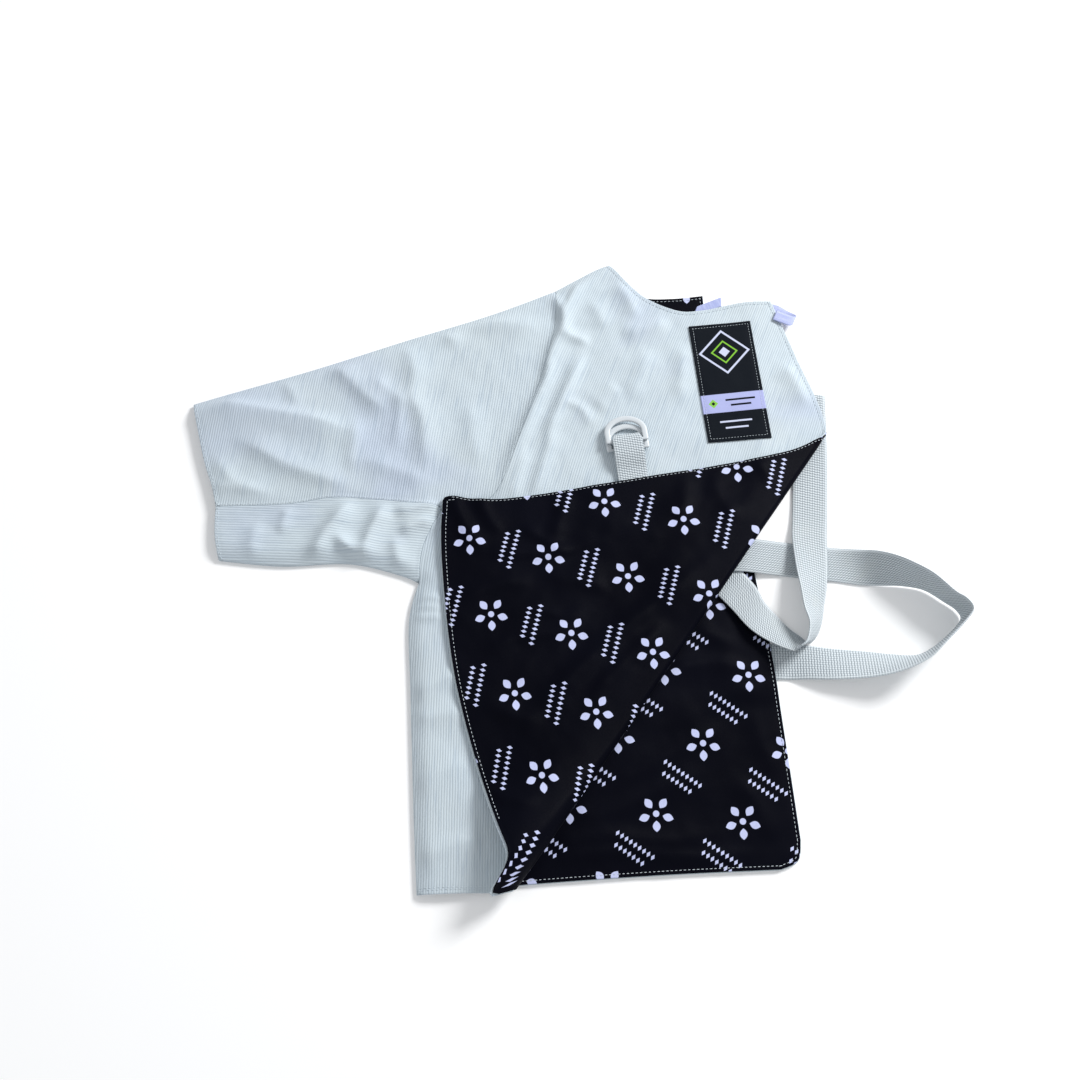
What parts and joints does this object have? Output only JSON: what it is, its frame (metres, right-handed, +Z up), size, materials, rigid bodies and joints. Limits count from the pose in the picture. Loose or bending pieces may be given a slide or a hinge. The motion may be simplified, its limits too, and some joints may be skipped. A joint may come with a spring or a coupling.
{
  "type": "fencing plastron",
  "caption": "Half-jacket protector laid flat with one short sleeve, a turned-back front corner over its dark lining, a ring tab and a long webbing strap.",
  "frame": {"origin": "on the table at the middle of the whole piece's outline box", "axes": "+X from the sleeve's cuff towards the centre edge and the strap, +Y from the hem towards the neck, +Z up from the table"},
  "size_m": [0.6539, 0.557, 0.0339],
  "materials": {
    "ribbed_cotton": "matt ribbed cotton, white",
    "dark_satin": "soft satin sheen, near black with a small pale lavender repeat",
    "woven_label": null,
    "lavender_ribbon": "satin ribbon",
    "white_webbing": "ribbed polyester webbing",
    "white_plastic": "moulded plastic, soft gloss"
  },
  "bodies": {
    "garment": {"back": "ribbed_cotton", "back_lining": "dark_satin", "front": "ribbed_cotton", "front_lining": "dark_satin", "sleeve_front": "ribbed_cotton", "sleeve_underarm": "ribbed_cotton", "sleeve_back": "ribbed_cotton", "label": "woven_label", "neck_ribbon": "lavender_ribbon", "ribbon_loop": "lavender_ribbon", "ring_tab": "white_webbing", "ring_lower": "white_plastic", "strap": "white_webbing"},
    "ring_upper": {"ring_upper": "white_plastic"}
  },
  "joints": [
    {"name": "ring_swing", "type": "hinge", "parent": "garment", "child": "ring_upper", "pos_m": [0.05087, 0.09956, 0.0131], "axis": [0.9905, 0.1376, 0], "range_deg": [0, 150]}
  ]
}
